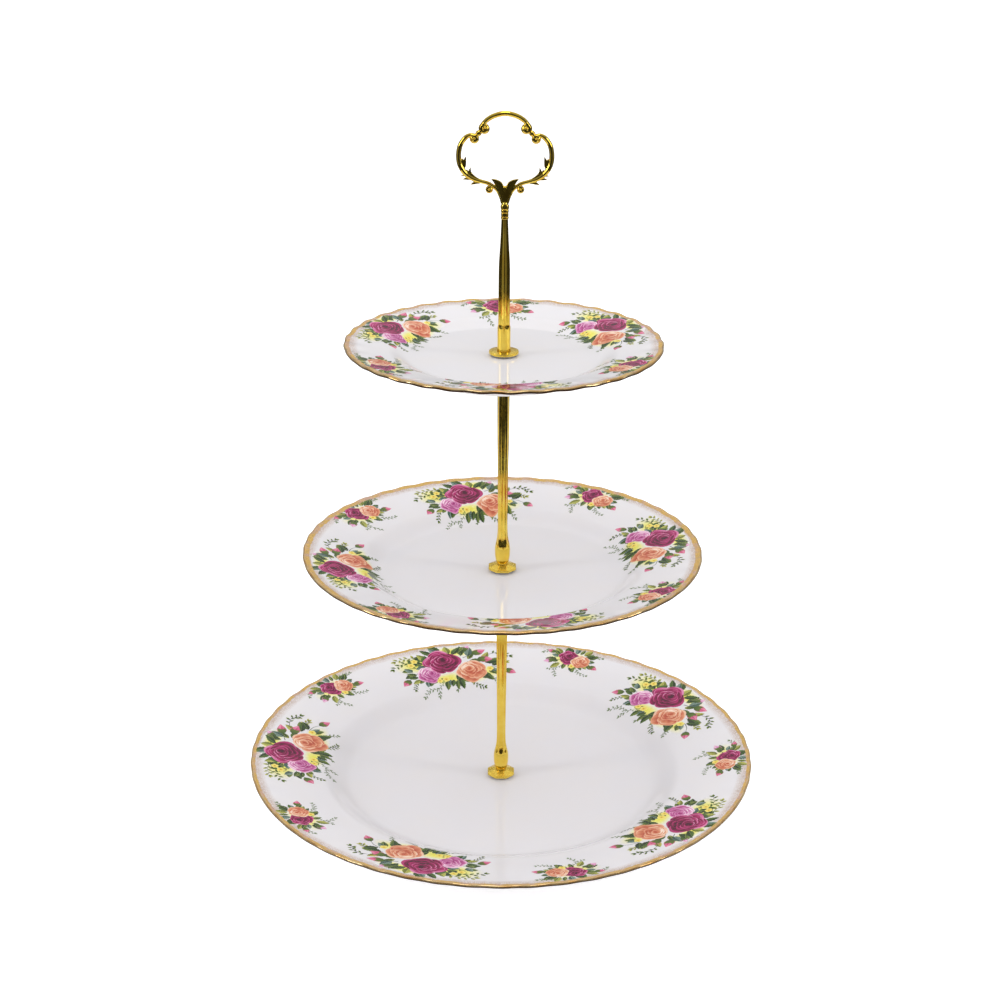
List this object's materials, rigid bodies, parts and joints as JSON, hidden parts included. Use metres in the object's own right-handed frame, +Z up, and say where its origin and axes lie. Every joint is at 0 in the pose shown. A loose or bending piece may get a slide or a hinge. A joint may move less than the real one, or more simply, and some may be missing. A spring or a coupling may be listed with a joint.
{
  "type": "tiered cake stand",
  "caption": "Tiered cake stand: rose-decorated porcelain plates held one above another on a gilt centre handle that unscrews in sections.",
  "frame": {"origin": "on the centre handle's axis, on the surface that the large plate's foot ring rests on", "axes": "+Z up along the handle; +X to the right and -Y towards someone who sees the handle's ring face on"},
  "size_m": [0.27, 0.27, 0.3705],
  "materials": {
    "porcelain": "glossy white glaze with rose transfers",
    "gilt": "polished gold plate",
    "steel": "zinc-plated",
    "rubber": "matte",
    "clear_plastic": "soft translucent"
  },
  "bodies": {
    "base": {"large_plate": "porcelain", "base_screw": "steel", "base_cup_washer": "steel", "base_rubber_washer": "rubber", "large_plate_top_washer": "clear_plastic"},
    "lower_flange": {"lower_flange": "gilt"},
    "lower_rod": {"lower_rod": "gilt", "lower_rod_top_washer": "clear_plastic"},
    "middle_plate": {"middle_plate": "porcelain", "middle_plate_top_washer": "clear_plastic"},
    "upper_flange": {"upper_flange": "gilt"},
    "upper_rod": {"upper_rod": "gilt", "upper_rod_stud": "steel", "upper_rod_top_washer": "clear_plastic"},
    "small_plate": {"small_plate": "porcelain", "small_plate_top_washer": "clear_plastic"},
    "handle_flange": {"handle_flange": "gilt"},
    "handle": {"handle_stem": "gilt", "handle_stud": "steel", "handle_collar": "gilt", "handle_ring": "gilt", "handle_ring_pin": "steel"}
  },
  "joints": [
    {"name": "lower_rod_lift", "type": "slide", "parent": "base", "child": "lower_flange", "axis": [0, 0, 1], "range_m": [0, 0.00788]},
    {"name": "lower_rod_unscrew", "type": "hinge", "parent": "lower_flange", "child": "lower_rod", "pos_m": [0, 0, 0.013], "axis": [0, 0, 1], "range_deg": [0, 4050]},
    {"name": "middle_plate_turn", "type": "hinge", "parent": "lower_flange", "child": "middle_plate", "pos_m": [0, 0, 0.1272], "axis": [0, 0, 1], "continuous": true},
    {"name": "upper_rod_lift", "type": "slide", "parent": "lower_flange", "child": "upper_flange", "axis": [0, 0, 1], "range_m": [0, 0.00788]},
    {"name": "upper_rod_unscrew", "type": "hinge", "parent": "upper_flange", "child": "upper_rod", "pos_m": [0, 0, 0.135], "axis": [0, 0, 1], "range_deg": [0, 4050]},
    {"name": "small_plate_turn", "type": "hinge", "parent": "upper_flange", "child": "small_plate", "pos_m": [0, 0, 0.2451], "axis": [0, 0, 1], "continuous": true},
    {"name": "handle_lift", "type": "slide", "parent": "upper_flange", "child": "handle_flange", "axis": [0, 0, 1], "range_m": [0, 0.00788]},
    {"name": "handle_unscrew", "type": "hinge", "parent": "handle_flange", "child": "handle", "pos_m": [0, 0, 0.2512], "axis": [0, 0, 1], "range_deg": [0, 4050]}
  ],
  "couplings": [
    {"joint": "lower_rod_unscrew", "follows": "lower_rod_lift", "rad_per_m": 8976},
    {"joint": "upper_rod_unscrew", "follows": "upper_rod_lift", "rad_per_m": 8976},
    {"joint": "handle_unscrew", "follows": "handle_lift", "rad_per_m": 8976}
  ]
}
